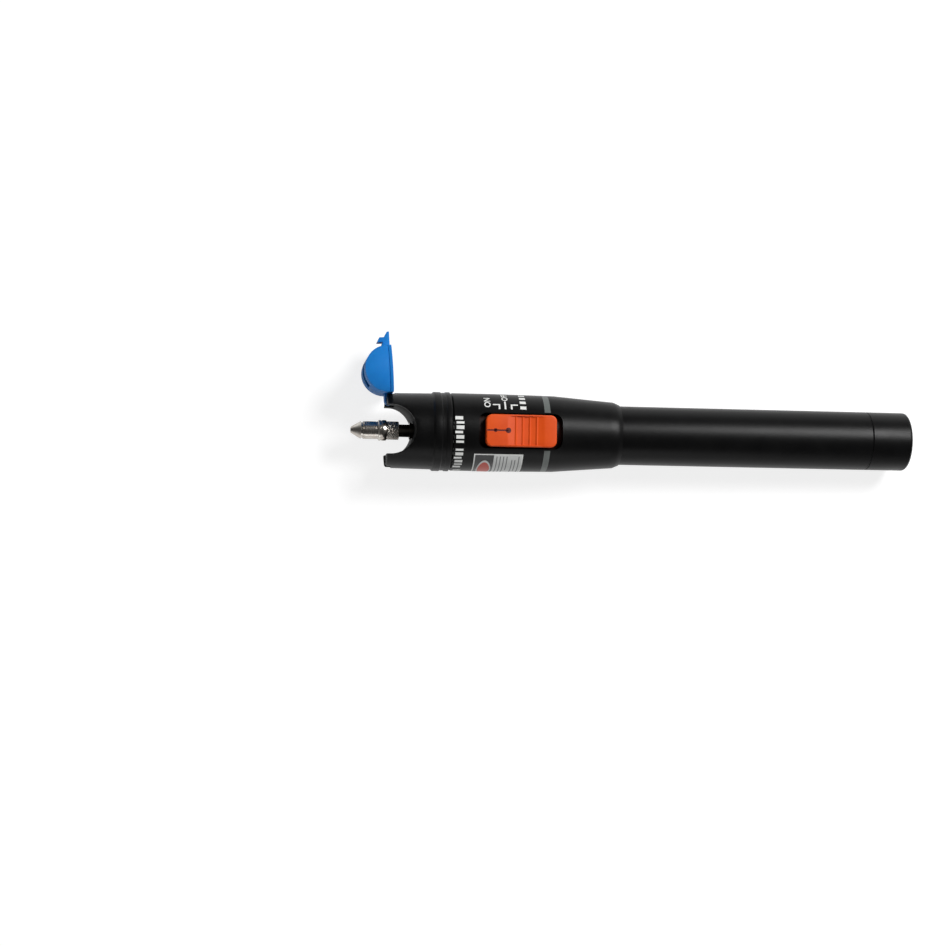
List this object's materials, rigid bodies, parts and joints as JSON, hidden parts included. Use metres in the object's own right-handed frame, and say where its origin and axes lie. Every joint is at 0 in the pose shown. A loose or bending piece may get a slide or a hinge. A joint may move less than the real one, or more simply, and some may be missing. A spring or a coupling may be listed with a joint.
{
  "type": "visual fault locator",
  "caption": "Pen-type red laser source for optical fibre, with a forked head, swung-open dust cap, plugged-in adapter, side thumb switch and screwed tail cap.",
  "frame": {"origin": "centre of the adapter's 1.25 mm mouth, at the nose", "axes": "+X from the nose to the tail, +Y to the side of the dust cap's hinge, +Z out of the thumb switch"},
  "size_m": [0.1864, 0.045, 0.0265],
  "materials": {
    "black_metal": "black anodised, matte",
    "blue_plastic": "moulded, satin",
    "orange_plastic": "moulded, satin",
    "nickel": "nickel plated, polished",
    "steel": "bright",
    "brass": "turned",
    "ceramic": "polished",
    "lens_glass": "coated",
    "rubber": "moulded",
    "board": "solder mask",
    "black_plastic": "moulded",
    "cell_wrap": "printed film over a can"
  },
  "bodies": {
    "pen": {"front_head": "black_metal", "hinge_pin": "steel", "head_o_ring": "rubber", "port_tube": "nickel", "port_sleeve": "ceramic", "fibre_stub": "ceramic", "laser_housing": "brass", "focus_lens": "lens_glass", "laser_diode": "steel", "diode_ring": "brass", "main_body": "black_metal", "switch_case": "steel", "circuit_board": "board", "board_carrier": "black_plastic", "driver_chip": "black_plastic", "current_trimmer": "black_plastic", "board_capacitors": "ceramic", "barrel": "black_metal", "contact_insulator": "black_plastic", "front_contact": "brass", "battery_front": "cell_wrap", "battery_rear": "cell_wrap"},
    "cap": {"dust_cap": "blue_plastic"},
    "switch": {"switch_slider": "orange_plastic", "switch_lever": "black_plastic"},
    "adapter": {"adapter_nose": "nickel", "adapter_body": "nickel", "adapter_ferrule": "ceramic", "adapter_sleeve": "ceramic"},
    "spring": {"tail_spring": "steel"},
    "tail": {"tail_cap": "black_metal", "tail_o_ring": "rubber", "tail_contact": "brass"}
  },
  "joints": [
    {"name": "cap_hinge", "type": "hinge", "parent": "pen", "child": "cap", "pos_m": [0.01236, 0.00975, 0], "axis": [0, 0, 1], "range_deg": [0, 80]},
    {"name": "switch_slide", "type": "slide", "parent": "pen", "child": "switch", "axis": [1, 0, 0], "range_m": [-0.002, 0.002]},
    {"name": "adapter_pull", "type": "slide", "parent": "pen", "child": "adapter", "axis": [-1, 0, 0], "range_m": [0, 0.012]},
    {"name": "tail_lift", "type": "slide", "parent": "pen", "child": "spring", "axis": [1, 0, 0], "range_m": [0, 0.008]},
    {"name": "tail_turn", "type": "hinge", "parent": "spring", "child": "tail", "pos_m": [0.17, 0, 0], "axis": [1, 0, 0], "range_deg": [0, 2880]}
  ],
  "couplings": [
    {"joint": "tail_turn", "follows": "tail_lift", "rad_per_m": 6283.2}
  ]
}
